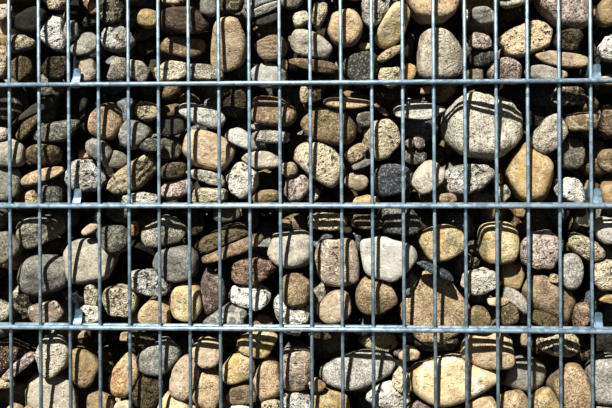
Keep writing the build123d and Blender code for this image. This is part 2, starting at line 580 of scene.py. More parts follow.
def face_point(x, y):
    """The place on the plane of the front wires that this pixel of the photograph shows"""
    along, up, shrink = np.split(perspective, (3, 6))
    scale = shrink[0] * x + shrink[1] * y + 1
    return np.array(((along[0] * x + along[1] * y + along[2]) / scale, -half_depth,
                     (up[0] * x + up[1] * y + up[2]) / scale))


class Stone:
    """One stone, with its middle, its own axes and half sizes, and how far back it lies: rank 0 at the
    mesh, 1 to 3 in the gaps behind, and -1 where the photograph doesn't show it. The ray is the way it may
    move back without leaving its place in the picture."""

    def __init__(self, kind, middle, axes, half, rank, tone, ray=(0, 0, 0), flats=()):
        self.kind = kind
        self.middle = middle
        self.axes = axes
        self.half = half
        self.rank = rank
        self.tone = tone
        self.ray = ray
        self.flats = flats


stones = []
seen_sizes = np.random.default_rng(11)
front_of_rank = [-0.182, -0.156, -0.132, -0.110]
front_slope = 0.000022      # metres a pixel: by the wires' shadows, stones lie further back at the right
front_spread = (-0.004, 0.005)
thickness_shares = (0.8, 1.0)   # of the mean of a stone's width and height
usual_tones = (0.35, 0.75)
# Painted shade: a stone in a gap keeps only this share of its tone, so it is as dark as the shade there
gap_painted_shade = 0.6             # of the tone of a stone that lies in a gap


def seen(kind, x, y, width, height, tilt=0, rank=0, tone=None, flats=()):
    """A stone that the photograph shows: place and size in its pixels, and tilt in degrees with the right end
    up. Each flat side is given by the way it faces, in degrees from the right round by the top, and its share
    of the stone's reach that way."""
    eye, forward, right, up = np.array((camera_place, camera_forward, camera_right, camera_up))
    point = face_point(x, y)
    ray = point - eye
    ray /= ray[1]
    thickness = math.sqrt(width * height) * seen_sizes.uniform(*thickness_shares)
    front = front_of_rank[rank] + seen_sizes.uniform(*front_spread) + front_slope * (x - photo_width / 2)
    pixel = (point - eye) @ forward / focal_pixels
    middle = point + ray * (front + thickness * pixel / 2 - point[1])
    pixel = (middle - eye) @ forward / focal_pixels
    turn = math.radians(tilt)
    long_axis = right * math.cos(turn) + up * math.sin(turn)
    short_axis = up * math.cos(turn) - right * math.sin(turn)
    axes = np.array((long_axis, forward, short_axis)).T
    half = np.array((width, thickness, height)) * pixel / 2
    # painted shade: a stone behind the front ones gets a darker tone
    if tone is None:
        tone = seen_sizes.uniform(*usual_tones) * (gap_painted_shade if rank else 1)
    flats = [(math.radians(facing - tilt), share) for facing, share in flats]
    stones.append(Stone(kind, middle, axes, half, rank, tone, ray, flats))


# Painted shade: many tones below, and some dark kinds, are darker than a stone's own colour where it lies
# partly or wholly in shade
# The photograph's top quarter
seen("rose", x=3, y=14, width=20, height=19, tone=0.6)
seen("black", x=31, y=21, width=38, height=29, tilt=-4, tone=0.2)
seen("chalk", x=55, y=36, width=28, height=41, tilt=10, tone=0.75)
seen("pale", x=72, y=32, width=16, height=22, tone=0.2)
seen("cream", x=58, y=2, width=24, height=20, tone=0.7)
seen("black", x=76, y=8, width=16, height=20, rank=2)
seen("cream", x=22, y=43, width=28, height=18, tilt=10, tone=0.4)
seen("cream", x=2, y=62, width=22, height=34, tone=1.0)
seen("brown", x=21, y=68, width=26, height=26, tilt=-20, tone=0.8)
seen("brown", x=57, y=68, width=30, height=24, tone=0.1)
seen("pale", x=85, y=46, width=30, height=23, tilt=38, tone=0.2, flats=[(-60, 0.75)])
seen("veined", x=92, y=22, width=14, height=22, tilt=-40, rank=1)
seen("ochre", x=94, y=10, width=10, height=12, rank=1)
seen("veined", x=112, y=12, width=28, height=30, tone=0.2)
seen("chalk", x=118, y=39, width=37, height=30, tone=0.3)
seen("granite", x=88, y=70, width=21, height=28, tilt=15, tone=0.0)
seen("black", x=102, y=70, width=9, height=22, rank=2)
seen("granite", x=121, y=70, width=24, height=25, tone=0.3)
seen("granite", x=139, y=71, width=26, height=20, tilt=-40, tone=0.4)
seen("straw", x=149, y=20, width=22, height=20, tone=0.2)
seen("brown", x=147, y=49, width=20, height=16, rank=3)
seen("grey", x=50, y=84, width=30, height=26, rank=1)
seen("black", x=36, y=112, width=62, height=16, tilt=38, tone=1.0)
seen("black", x=8, y=109, width=34, height=24, rank=1, tone=0.9)
seen("cream", x=174, y=1, width=24, height=12, tone=1.0)
seen("banded", x=186, y=22, width=51, height=28, tilt=-8, tone=0.0)
seen("tan", x=184, y=48, width=47, height=23, rank=1, tone=0.2)
seen("cream", x=172, y=72, width=33, height=22, tone=1.0)
seen("granite", x=207, y=73, width=36, height=17, tilt=-3, tone=0.4)
seen("pale", x=210, y=8, width=18, height=22, tone=0.1)
seen("brown", x=230, y=4, width=34, height=26, tone=0.3)
seen("tan", x=231, y=45, width=36, height=59, tilt=-5, tone=0.5)
seen("slate", x=260, y=4, width=32, height=20, tilt=15, tone=0.5)
seen("pale", x=265, y=12, width=33, height=9, tilt=22, tone=0.6)
seen("black", x=268, y=20, width=28, height=15, tilt=10, tone=0.7)
seen("grey", x=293, y=3, width=26, height=18, tone=0.3)
seen("banded", x=272, y=50, width=33, height=26, tilt=8, tone=0.8)
seen("block", x=270, y=76, width=37, height=27, tone=0.1)
seen("tan", x=286, y=66, width=6, height=12)
seen("pale", x=312, y=46, width=44, height=28, tilt=-12)
seen("granite", x=302, y=21, width=18, height=16, tilt=20, tone=0.7)
seen("tan", x=314, y=67, width=52, height=13, tilt=-8, tone=0.0)
seen("black", x=287, y=26, width=12, height=14, rank=3)
seen("cream", x=320, y=18, width=30, height=15, tilt=78, tone=0.6)
seen("tan", x=346, y=30, width=36, height=41, tone=0.8)
seen("black", x=352, y=5, width=20, height=14, rank=2)
seen("chalk", x=373, y=14, width=27, height=32, tilt=20, tone=0.3)
seen("straw", x=393, y=29, width=50, height=30, tilt=52, tone=1.0)
seen("ochre", x=367, y=48, width=14, height=8, tilt=10, rank=1)
seen("grey", x=362, y=71, width=40, height=38, tone=0.0)
seen("cream", x=391, y=55, width=32, height=10, tilt=32, tone=0.3)
seen("black", x=406, y=50, width=16, height=20, rank=1)
seen("cream", x=391, y=79, width=26, height=22, tone=0.8)
seen("amber", x=410, y=74, width=14, height=18, tilt=-20, tone=0.6)
seen("tan", x=432, y=2, width=54, height=52, tone=0.8)
seen("granite", x=441, y=56, width=50, height=51, tone=0.55, flats=[(95, 0.72), (180, 0.8), (-85, 0.8)])
seen("grey", x=319, y=84, width=20, height=18, rank=1)
seen("brown", x=316, y=95, width=22, height=18, rank=1)
seen("brown", x=391, y=92, width=34, height=18, rank=1)
seen("tan", x=428, y=91, width=18, height=8, tilt=10, rank=1)
seen("chalk", x=467, y=18, width=7, height=13, rank=1)
seen("slate", x=483, y=19, width=28, height=20, rank=1)
seen("granite", x=512, y=2, width=32, height=20)
seen("tan", x=494, y=7, width=8, height=8, rank=1)
seen("brown", x=514, y=18, width=34, height=16, rank=2)
seen("rose", x=563, y=9, width=54, height=58, tone=0.7, flats=[(-150, 0.8)])
seen("rose", x=481, y=44, width=23, height=17, tilt=-15, rank=1, tone=0.5)
seen("grey", x=484, y=60, width=27, height=17, tilt=12, rank=1, tone=0.1)
seen("cream", x=526, y=43, width=56, height=33, tilt=22, tone=0.8, flats=[(205, 0.78), (40, 0.82)])
seen("grey", x=476, y=78, width=19, height=15, rank=1, tone=0.3)
seen("rose", x=505, y=73, width=36, height=28, tone=0.3, flats=[(52, 0.6), (140, 0.66)])
seen("brown", x=568, y=43, width=28, height=23, tone=0.3)
seen("tan", x=561, y=62, width=55, height=17, tilt=-6, tone=0.2)
seen("pale", x=545, y=76, width=45, height=18, tilt=-5, tone=0.2)
seen("umber", x=609, y=13, width=24, height=36, tone=0.9)
seen("ochre", x=594, y=14, width=5, height=12, rank=1)
seen("chalk", x=611, y=51, width=28, height=30)
seen("veined", x=594, y=54, width=6, height=16, rank=1)
seen("tan", x=609, y=82, width=18, height=12, rank=1)
seen("grey", x=483, y=95, width=34, height=18, rank=2, tone=0.0)
seen("veined", x=568, y=98, width=36, height=20, tone=1.0)
seen("brown", x=236, y=104, width=24, height=30, rank=1)
seen("cream", x=305, y=96, width=9, height=18, rank=1)

# The second quarter
seen("umber", x=30, y=124, width=40, height=17, tilt=52, tone=0.2)
seen("rose", x=1, y=133, width=18, height=14)
seen("grey", x=56, y=131, width=50, height=22, tilt=6, tone=0.3)
seen("pale", x=11, y=151, width=34, height=30, tone=0.0)
seen("umber", x=44, y=153, width=36, height=22, tilt=-5, tone=0.1)
seen("grey", x=8, y=181, width=34, height=38, tone=0.8)
seen("tan", x=42, y=174, width=45, height=14, tilt=18, tone=0.6)
seen("cream", x=33, y=197, width=16, height=18, tone=0.3)
seen("grey", x=52, y=194, width=23, height=22, tone=0.2)
seen("chalk", x=87, y=174, width=44, height=34)
seen("pale", x=100, y=149, width=30, height=20, tilt=-35, tone=0.2, flats=[(45, 0.75)])
seen("grey", x=117, y=158, width=29, height=19, tone=0.9, flats=[(60, 0.8)])
seen("ochre", x=85, y=153, width=14, height=11, rank=1)
seen("tan", x=107, y=121, width=34, height=38, tone=0.4)
seen("black", x=86, y=115, width=12, height=36, tilt=10, rank=1)
seen("slate", x=136, y=135, width=33, height=30, tilt=-10, tone=0.0)
seen("cream", x=149, y=111, width=26, height=20)
seen("grey", x=152, y=144, width=27, height=15, tone=0.1)
seen("cream", x=134, y=174, width=54, height=30, tilt=38, tone=0.4)
seen("chalk", x=142, y=198, width=38, height=16)
seen("black", x=55, y=163, width=26, height=18, rank=2)
seen("pale", x=203, y=115, width=49, height=21, tilt=-20, tone=0.65)
seen("black", x=174, y=125, width=26, height=21, rank=1, tone=1.0)
seen("grey", x=171, y=147, width=26, height=24, rank=1, tone=0.05)
seen("ochre", x=210, y=150, width=54, height=41, tilt=-15, tone=0.3, flats=[(-35, 0.8)])
seen("pale", x=244, y=139, width=37, height=18, tilt=-25, tone=0.8)
seen("granite", x=271, y=136, width=40, height=14, tilt=-3, tone=0.4)
seen("chalk", x=258, y=127, width=18, height=6, tilt=-5, rank=1)
seen("tan", x=275, y=112, width=47, height=31, tilt=-5, tone=0.2)
seen("pale", x=262, y=159, width=43, height=19, tone=0.5, flats=[(60, 0.7), (120, 0.75)])
seen("brown", x=176, y=169, width=30, height=17, tilt=15, tone=0.6)
seen("granite", x=206, y=175, width=44, height=13, tilt=-16)
seen("rose", x=177, y=188, width=37, height=20, tilt=18, tone=0.5)
seen("cream", x=210, y=194, width=38, height=16, tilt=3, tone=0.9)
seen("chalk", x=243, y=179, width=34, height=38)
seen("umber", x=267, y=196, width=28, height=15, tilt=12, tone=0.7)
seen("black", x=271, y=178, width=16, height=14, rank=2)
seen("cream", x=290, y=169, width=17, height=17, tilt=20)
seen("rose", x=297, y=186, width=30, height=26, tilt=45, tone=0.6)
seen("cream", x=322, y=161, width=56, height=38, tilt=-38, tone=0.9)
seen("umber", x=330, y=127, width=58, height=38, tilt=-8, tone=0.5)
seen("tan", x=348, y=104, width=48, height=12, tilt=-2, tone=0.9)
seen("tan", x=381, y=110, width=22, height=6, tilt=-38, rank=1)
seen("cream", x=382, y=140, width=38, height=43, tone=1.0)
seen("grey", x=365, y=120, width=16, height=16, tone=0.3)
seen("cream", x=358, y=153, width=26, height=17, tilt=30, tone=0.2)
seen("pale", x=363, y=164, width=22, height=8, tilt=22, tone=0.1)
seen("tan", x=357, y=181, width=24, height=18, tilt=-20, tone=0.0)
seen("chalk", x=313, y=193, width=17, height=19, rank=1)
seen("amber", x=367, y=200, width=27, height=12, tone=0.5)
seen("slate", x=395, y=178, width=43, height=34, tilt=12, tone=0.0)
seen("pale", x=428, y=177, width=36, height=26, tilt=45, tone=0.6)
seen("pale", x=420, y=112, width=52, height=18, tilt=3)
seen("pale", x=412, y=104, width=38, height=9, tilt=8, rank=1)
seen("rose", x=420, y=142, width=13, height=16, rank=1)
seen("rose", x=410, y=144, width=9, height=11, rank=1, tone=0.1)
seen("grey", x=415, y=156, width=25, height=18, rank=1)
seen("granite", x=483, y=128, width=86, height=71, tone=0.8)
seen("chalk", x=470, y=178, width=54, height=30, tilt=5)
seen("tan", x=448, y=198, width=20, height=12, tone=0.1)
seen("black", x=395, y=201, width=30, height=8, rank=1)
seen("black", x=535, y=120, width=22, height=26, rank=2)
seen("granite", x=550, y=136, width=46, height=28, tilt=56, tone=0.7, flats=[(100, 0.82)])
seen("grey", x=570, y=153, width=28, height=34, rank=1, tone=0.2)
seen("amber", x=530, y=170, width=50, height=63, tone=0.15, flats=[(142, 0.6), (34, 0.68), (-150, 0.85)])
seen("umber", x=581, y=123, width=38, height=20, tilt=5, tone=0.0)
seen("banded", x=611, y=123, width=24, height=34, tone=0.3)
seen("umber", x=611, y=161, width=26, height=24, tone=0.5)
seen("amber", x=612, y=193, width=24, height=26, tone=0.0)
seen("chalk", x=571, y=190, width=32, height=26, tilt=-20)
seen("chalk", x=503, y=194, width=16, height=20, rank=1)
seen("grey", x=484, y=195, width=30, height=16, rank=2, tone=0.1)
seen("ochre", x=501, y=179, width=5, height=11, rank=1)
seen("brown", x=437, y=155, width=16, height=20, rank=3)
seen("tan", x=594, y=108, width=5, height=14, tilt=10, rank=1)

# The third quarter
seen("granite", x=40, y=228, width=54, height=32, tilt=8, tone=0.3, flats=[(-60, 0.7), (170, 0.8)])
seen("grey", x=2, y=244, width=42, height=34, tone=0.6)
seen("pale", x=48, y=269, width=60, height=40, tilt=14, tone=0.05)
seen("pale", x=92, y=259, width=54, height=48, tone=0.3, flats=[(-35, 0.85)])
seen("grey", x=117, y=236, width=33, height=30, tone=0.3)
seen("brown", x=54, y=243, width=30, height=16, rank=1, tone=0.6)
seen("tan", x=91, y=226, width=10, height=20, tilt=-60, tone=0.4)
seen("cream", x=97, y=216, width=6, height=12, rank=1)
seen("amber", x=134, y=227, width=10, height=14, tone=0.5)
seen("chalk", x=153, y=279, width=45, height=26, tilt=-8)
seen("cream", x=121, y=297, width=38, height=32)
seen("cream", x=93, y=294, width=15, height=32, tone=0.8)
seen("black", x=76, y=293, width=12, height=28, tilt=70, rank=1)
seen("granite", x=164, y=228, width=48, height=32, tilt=8, tone=0.3)
seen("brown", x=192, y=220, width=30, height=30, rank=2)
seen("pale", x=178, y=260, width=46, height=38, tilt=10, tone=0.0)
seen("brown", x=224, y=235, width=58, height=20, tilt=22, tone=0.8)
seen("tan", x=234, y=246, width=66, height=15, tilt=20, tone=0.1)
seen("grey", x=228, y=212, width=28, height=18, rank=1, tone=0.1)
seen("pale", x=291, y=247, width=46, height=40)
seen("rust", x=255, y=268, width=46, height=32, tilt=-5, tone=1.0, flats=[(60, 0.7), (150, 0.75)])
seen("chalk", x=250, y=292, width=44, height=28, tilt=-8, tone=1.0)
seen("rose", x=215, y=290, width=25, height=50, tilt=5, tone=0.0)
seen("straw", x=187, y=298, width=36, height=38, tone=0.7)
seen("tan", x=297, y=286, width=30, height=36, tone=0.3)
seen("tan", x=286, y=222, width=14, height=8, rank=1)
seen("cream", x=328, y=220, width=40, height=19, tilt=5, tone=1.0)
seen("brown", x=369, y=220, width=32, height=16, tone=1.0)
seen("grey", x=399, y=218, width=40, height=34, tilt=15, tone=0.2)
seen("rose", x=338, y=260, width=48, height=52, tone=0.5)
seen("block", x=388, y=255, width=58, height=50, tilt=0, tone=0.1,
     flats=[(62, 0.62), (-48, 0.6), (-100, 0.8), (100, 0.8), (190, 0.8)])
seen("straw", x=443, y=240, width=44, height=38, tilt=25, tone=0.5)
seen("slate", x=436, y=268, width=40, height=9, tilt=-25, tone=0.0)
seen("granite", x=320, y=294, width=36, height=38, rank=1, tone=0.2)
seen("tan", x=335, y=303, width=36, height=32, tilt=15, tone=0.1, flats=[(130, 0.7)])
seen("tan", x=377, y=291, width=43, height=38, tone=0.4)
seen("tan", x=436, y=302, width=74, height=74, tone=0.5, flats=[(52, 0.72), (150, 0.78)])
seen("grey", x=410, y=280, width=18, height=28, rank=1, tone=0.6)
seen("grey", x=480, y=246, width=26, height=16, tilt=-12, rank=1)
seen("straw", x=500, y=241, width=40, height=42)
seen("rose", x=538, y=247, width=40, height=40, tone=0.6)
seen("cream", x=585, y=246, width=40, height=22, tilt=-28, tone=0.7)
seen("pale", x=608, y=230, width=28, height=26, tone=0.95)
seen("black", x=583, y=219, width=18, height=30, rank=1, tone=0.4)
seen("amber", x=520, y=211, width=13, height=13, rank=1)
seen("chalk", x=480, y=279, width=40, height=26, tilt=5)
seen("umber", x=513, y=275, width=24, height=30, rank=1, tone=1.0)
seen("tan", x=549, y=297, width=62, height=42, tilt=-35, tone=0.35)
seen("pale", x=516, y=299, width=34, height=20, tilt=-35, tone=0.3)
seen("pale", x=571, y=270, width=22, height=38)
seen("cream", x=607, y=273, width=38, height=32, tone=0.8)
seen("straw", x=609, y=297, width=20, height=9, tone=0.2)
seen("slate", x=590, y=300, width=12, height=22, rank=1)
seen("ochre", x=499, y=299, width=22, height=9, tone=0.5)
seen("cream", x=555, y=277, width=10, height=9, tone=0.7)
seen("veined", x=474, y=260, width=14, height=10, rank=1)

# The bottom quarter
seen("granite", x=2, y=306, width=26, height=22, tone=0.3)
seen("veined", x=24, y=303, width=28, height=26, rank=1)
seen("rose", x=48, y=308, width=36, height=24, tone=0.4)
seen("chalk", x=91, y=309, width=22, height=22)
seen("tan", x=136, y=314, width=10, height=12, rank=1)
seen("tan", x=156, y=309, width=34, height=28, tone=0.8)
seen("rust", x=10, y=352, width=58, height=40, tone=0.1, flats=[(50, 0.6), (-50, 0.6)])
seen("rose", x=18, y=362, width=46, height=12, tilt=38, tone=0.5)
seen("cream", x=2, y=376, width=28, height=14)
seen("grey", x=18, y=392, width=50, height=34, tilt=10, rank=1, tone=0.8)
seen("granite", x=57, y=349, width=34, height=43, tone=1.0)
seen("umber", x=87, y=360, width=30, height=40, tilt=15, tone=0.9)
seen("brown", x=106, y=357, width=20, height=28, rank=1)
seen("ochre", x=128, y=370, width=32, height=50, tilt=-12, tone=0.4)
seen("pale", x=160, y=350, width=48, height=38, tilt=8, tone=0.25)
seen("brown", x=143, y=334, width=30, height=16, tone=0.6)
seen("brown", x=148, y=386, width=38, height=38)
seen("pale", x=53, y=395, width=56, height=60, tone=0.3)
seen("umber", x=103, y=401, width=30, height=34, tone=0.7)
seen("ochre", x=124, y=407, width=20, height=24)
seen("brown", x=105, y=381, width=30, height=26, rank=1, tone=0.1)
seen("straw", x=30, y=407, width=16, height=12, tone=0.2)
seen("tan", x=83, y=332, width=10, height=8, tilt=45, rank=1)
seen("brown", x=93, y=334, width=28, height=16, rank=1)
seen("tan", x=126, y=333, width=12, height=10, rank=1)
seen("slate", x=226, y=311, width=46, height=26, tone=0.0)
seen("tan", x=264, y=318, width=20, height=14, rank=1)
seen("chalk", x=290, y=311, width=42, height=34, tilt=-20)
seen("brown", x=225, y=331, width=44, height=20, rank=1, tone=0.2)
seen("tan", x=207, y=348, width=34, height=29, tone=0.9)
seen("straw", x=258, y=340, width=42, height=27, tone=0.5)
seen("straw", x=239, y=363, width=36, height=28, tilt=22)
seen("tan", x=186, y=373, width=30, height=48, tilt=-15, tone=0.3)
seen("tan", x=206, y=386, width=34, height=44, tilt=-5, tone=0.8)
seen("tan", x=243, y=388, width=32, height=24, tilt=15, tone=0.2)
seen("tan", x=268, y=376, width=34, height=46, tilt=-10, tone=0.6)
seen("rose", x=297, y=366, width=36, height=48, tone=0.5)
seen("straw", x=177, y=402, width=38, height=32, tone=0.9)
seen("tan", x=196, y=408, width=12, height=16)
seen("chalk", x=243, y=408, width=28, height=20, tone=0.9)
seen("cream", x=275, y=404, width=26, height=20, tone=0.9)
seen("chalk", x=298, y=401, width=36, height=32, tilt=20)
seen("brown", x=322, y=328, width=28, height=14, rank=1)
seen("cream", x=379, y=338, width=42, height=26, rank=1, tone=0.9)
seen("pale", x=359, y=364, width=80, height=36, tilt=9, tone=0.5)
seen("ochre", x=318, y=381, width=18, height=14)
seen("straw", x=328, y=402, width=45, height=38, tone=0.1)
seen("chalk", x=389, y=393, width=46, height=34, tilt=5, tone=1.0)
seen("cream", x=402, y=376, width=20, height=26, tone=1.0)
seen("tan", x=410, y=350, width=22, height=15, tone=0.9)
seen("brown", x=437, y=334, width=50, height=26, rank=1, tone=0.0)
seen("sandstone", x=450, y=372, width=98, height=58, tilt=6, tone=0.0,
     flats=[(110, 0.75), (-60, 0.72), (20, 0.8)])
seen("tan", x=486, y=345, width=54, height=36, tilt=2, tone=0.85, flats=[(-8, 0.8), (-80, 0.8)])
seen("umber", x=478, y=315, width=26, height=24, tone=0.3)
seen("umber", x=508, y=310, width=22, height=24, tone=0.3)
seen("tan", x=525, y=317, width=8, height=8, rank=1)
seen("brown", x=545, y=317, width=30, height=16, tilt=-12, tone=0.8)
seen("rust", x=583, y=314, width=24, height=26, tilt=20, tone=1.0)
seen("grey", x=524, y=369, width=48, height=38, rank=1, tone=1.0)
seen("tan", x=525, y=336, width=8, height=16, rank=1)
seen("brown", x=532, y=334, width=40, height=30, rank=1)
seen("cream", x=559, y=340, width=44, height=26)
seen("veined", x=575, y=352, width=38, height=26, rank=1)
seen("tan", x=569, y=388, width=46, height=60, tilt=18, tone=0.45)
seen("straw", x=546, y=402, width=36, height=42, tone=0.3, flats=[(40, 0.68), (140, 0.68)])
seen("tan", x=514, y=402, width=32, height=30, tone=0.5)
seen("ochre", x=485, y=405, width=32, height=26, tone=0.0)
seen("pale", x=606, y=378, width=44, height=56, tone=0.45)
seen("pale", x=607, y=408, width=24, height=18, tone=0.3)
seen("black", x=606, y=342, width=30, height=28, rank=2, tone=0.3)


# The stones that the photograph doesn't show

fill_share = 0.62           # of the basket's inside, before the stones are worked against each other
inside_low = np.array((-inner_half_length, -inner_half_depth, 0.0))
inside_high = np.array((inner_half_length, inner_half_depth, fill_top))
view_low = np.array((-0.545, -half_depth, 0.060))       # the photograph's window and a little more
view_high = np.array((0.585, half_depth, 0.775))
view_front = -0.120         # unseen stones stay behind this in the photograph's window
# Painted shade: dark kinds for unseen stones in the gaps just behind the mesh
painted_shade_kinds = ["black", "brown", "grey", "umber", "slate"]
single_kinds = ["block", "sandstone"]
model_half = 0.024          # half length past which a seen stone is a model for the unseen ones
size_changes = (0.85, 1.12)     # from the model's size
lean = 0.22                 # spread of the stones' lean and roll, in radians
roll = 0.15
margin = 0.020              # from the basket's sides
side_draws = 9              # three in so many stones go to a side of the basket, one for each axis
unseen_tones = (0.2, 0.85)


def volume(half):
    return 4 / 3 * math.pi * half[0] * half[1] * half[2]


def add_unseen_stones():
    """Stones like the seen ones, all through the basket, until they take up enough of it"""
    draw = np.random.default_rng(23)
    models = [stone for stone in stones
              if stone.rank == 0 and stone.half[0] > model_half and stone.kind not in single_kinds]
    wanted = fill_share * float(np.prod(inside_high - inside_low))
    held = sum(volume(stone.half) for stone in stones)
    while held < wanted:
        model = models[draw.integers(len(models))]
        half = model.half * draw.uniform(*size_changes, 3)
        turn = Matrix.Rotation(draw.uniform(0, 2 * math.pi), 3, "Z")
        turn = turn @ Matrix.Rotation(draw.normal(0, lean), 3, "Y")
        turn = turn @ Matrix.Rotation(draw.normal(0, roll), 3, "X")
        middle = draw.uniform(inside_low + margin, inside_high - margin)
        axis = draw.integers(side_draws)
        if axis < len(middle):
            middle[axis] = (inside_low, inside_high)[draw.integers(2)][axis]
        in_view = np.all(middle > view_low) and np.all(middle < view_high)
        if in_view and middle[1] < view_front:
            middle[1] = draw.uniform(view_front + margin, inside_high[1] - margin)
        kind = model.kind
        tone = draw.uniform(*unseen_tones)
        # painted shade: an unseen stone in a gap near the mesh takes a dark kind and a darker tone
        if in_view and middle[1] < 0:
            kind = painted_shade_kinds[draw.integers(len(painted_shade_kinds))]
            tone *= gap_painted_shade
        stones.append(Stone(kind, middle, np.array(turn), half, -1, tone))
        held += volume(half)


# Stones worked against each other until they touch

block_of_stones = 200       # whose neighbours are looked for at once
touching_reach = 0.125      # stones whose middles are further apart don't touch
search_steps = 6            # from one search for neighbours to the next
most_overlap = 0.012        # that one step works on
push_share = 0.7            # of an overlap that one step clears
most_back = 0.003           # that one step moves a stone in a gap back
gap_yield = 0.5             # of a stone in a gap, where those at the mesh stay and unseen ones give way
hair = 1e-9                 # keeps a sum from dividing by nothing


def of_all_stones(name):
    """This value of every stone, as an array"""
    return np.array([getattr(stone, name) for stone in stones])


def matrices(power):
    """For each stone a matrix that has its half sizes, to this power, along its own axes"""
    axes = of_all_stones("axes")
    return np.einsum("nik,nk,njk->nij", axes, of_all_stones("half") ** power, axes)


def close_pairs(middles, reach):
    """Pairs of stones whose middles are nearer than the reach"""
    order = np.argsort(middles[:, 0])
    sorted_middles = middles[order]
    first = []
    second = []
    for start in range(0, len(order), block_of_stones):
        stop = min(start + block_of_stones, len(order))
        end = np.searchsorted(sorted_middles[:, 0], sorted_middles[stop - 1, 0] + reach)
        gaps = sorted_middles[start:stop, None] - sorted_middles[None, start:end]
        near, far = np.nonzero((gaps ** 2).sum(2) < reach ** 2)
        later = far > near
        first.append(order[start + near[later]])
        second.append(order[start + far[later]])
    return np.concatenate(first), np.concatenate(second)


def reach_towards(shapes, directions):
    """How far each stone reaches from its middle that way"""
    return 1 / np.sqrt(np.einsum("ni,nij,nj->n", directions, shapes, directions))


def settle(steps):
    """Pushes the stones apart: those at the mesh stay, those in the gaps only move back, the rest give way"""
    middles = of_all_stones("middle")
    ranks = of_all_stones("rank")
    rays = of_all_stones("ray")
    shapes = matrices(-2.0)
    reaches = np.sqrt(np.einsum("nkk->nk", matrices(2)))
    free = ranks < 0
    behind = ranks > 0
    yields = np.where(ranks == 0, 0.0, np.where(free, 1.0, gap_yield))
    for step in range(steps):
        if step % search_steps == 0:
            first, second = close_pairs(middles, touching_reach)
        gaps = middles[second] - middles[first]
        distances = np.linalg.norm(gaps, axis=1) + hair
        directions = gaps / distances[:, None]
        reach = reach_towards(shapes[first], directions) + reach_towards(shapes[second], directions)
        overlaps = np.clip(reach - distances, 0, most_overlap)
        total = yields[first] + yields[second] + hair
        push = directions * (overlaps * push_share)[:, None]
        moves = np.zeros_like(middles)
        np.add.at(moves, first, -push * (yields[first] / total)[:, None])
        np.add.at(moves, second, push * (yields[second] / total)[:, None])
        middles[free] += moves[free]
        back = np.clip(moves[behind, 1], 0, most_back)
        middles[behind] += rays[behind] * back[:, None]
        low = inside_low + reaches[free]
        high = inside_high - reaches[free]
        in_view = np.all((middles[free] > view_low) & (middles[free] < view_high), axis=1)
        low[in_view, 1] = view_front + reaches[free][in_view, 1]
        middles[free] = np.clip(middles[free], low, high)
    for stone, middle in zip(stones, middles):
        stone.middle = middle


# Where neighbours, wires, rods and straps press a stone, it is worn flat

front_loss = 0.1            # share of an overlap that the stone in front loses
pressing_gap = 0.006        # stones nearer each other than this are worn flat there
bar_reach = 1.35            # bars within this many half sizes press a stone
strap_place = 0.005         # the middle of a strap's plate, beside its wire
strap_edges = (-0.007, 0.0, 0.007)
strap_radius = 0.0016
tab_bar = {"beside": 0.006, "across": 0.193, "rise": 0.027, "radius": 0.006}
ear_bar = {"beside": 0.0, "across": 0.185, "rise": 0.046, "radius": 0.003}


def contact_planes():
    """For each stone the planes it stays behind, as normals away from its middle and distances"""
    middles = of_all_stones("middle")
    ranks = np.maximum(of_all_stones("rank"), 0)
    shapes = matrices(-2.0)
    planes = [[] for stone in stones]
    first, second = close_pairs(middles, touching_reach)
    gaps = middles[second] - middles[first]
    distances = np.linalg.norm(gaps, axis=1)
    directions = gaps / distances[:, None]
    first_reach = reach_towards(shapes[first], directions)
    second_reach = reach_towards(shapes[second], directions)
    spare = distances - first_reach - second_reach
    unequal = np.where(ranks[first] < ranks[second], front_loss, 1 - front_loss)
    share = np.where((spare < 0) & (ranks[first] != ranks[second]), unequal, 0.5)
    touch = middles[first] + directions * (first_reach + spare * share)[:, None]
    pull_first = units(np.einsum("nij,nj->ni", shapes[first], touch - middles[first]))
    pull_second = units(np.einsum("nij,nj->ni", shapes[second], touch - middles[second]))
    normals = units(pull_first - pull_second)
    for pair in np.nonzero(spare < pressing_gap)[0]:
        i, j, normal = first[pair], second[pair], normals[pair]
        planes[i].append((normal, (touch[pair] - middles[i]) @ normal))
        planes[j].append((-normal, (middles[j] - touch[pair]) @ normal))
    add_bar_planes(planes, shapes)
    return planes


def add_bar_planes(planes, shapes):
    """Adds the planes where the basket's bars and the ground press the stones"""
    down = np.array((0.0, 0.0, -1.0))
    starts, runs, radii = basket_bars()
    for stone, shape, pressing in zip(stones, shapes, planes):
        offsets = starts - stone.middle
        pulled = runs @ shape
        along = -np.einsum("ni,ni->n", pulled, offsets) / np.einsum("ni,ni->n", pulled, runs)
        nearest = offsets + runs * np.clip(along, 0, 1)[:, None]
        pulls = nearest @ shape
        near = np.sqrt(np.einsum("ni,ni->n", pulls, nearest)) < bar_reach
        for offset, pull, radius in zip(nearest[near], pulls[near], radii[near]):
            normal = unit(pull)
            pressing.append((normal, offset @ normal - radius))
        pressing.append((down, stone.middle[2]))


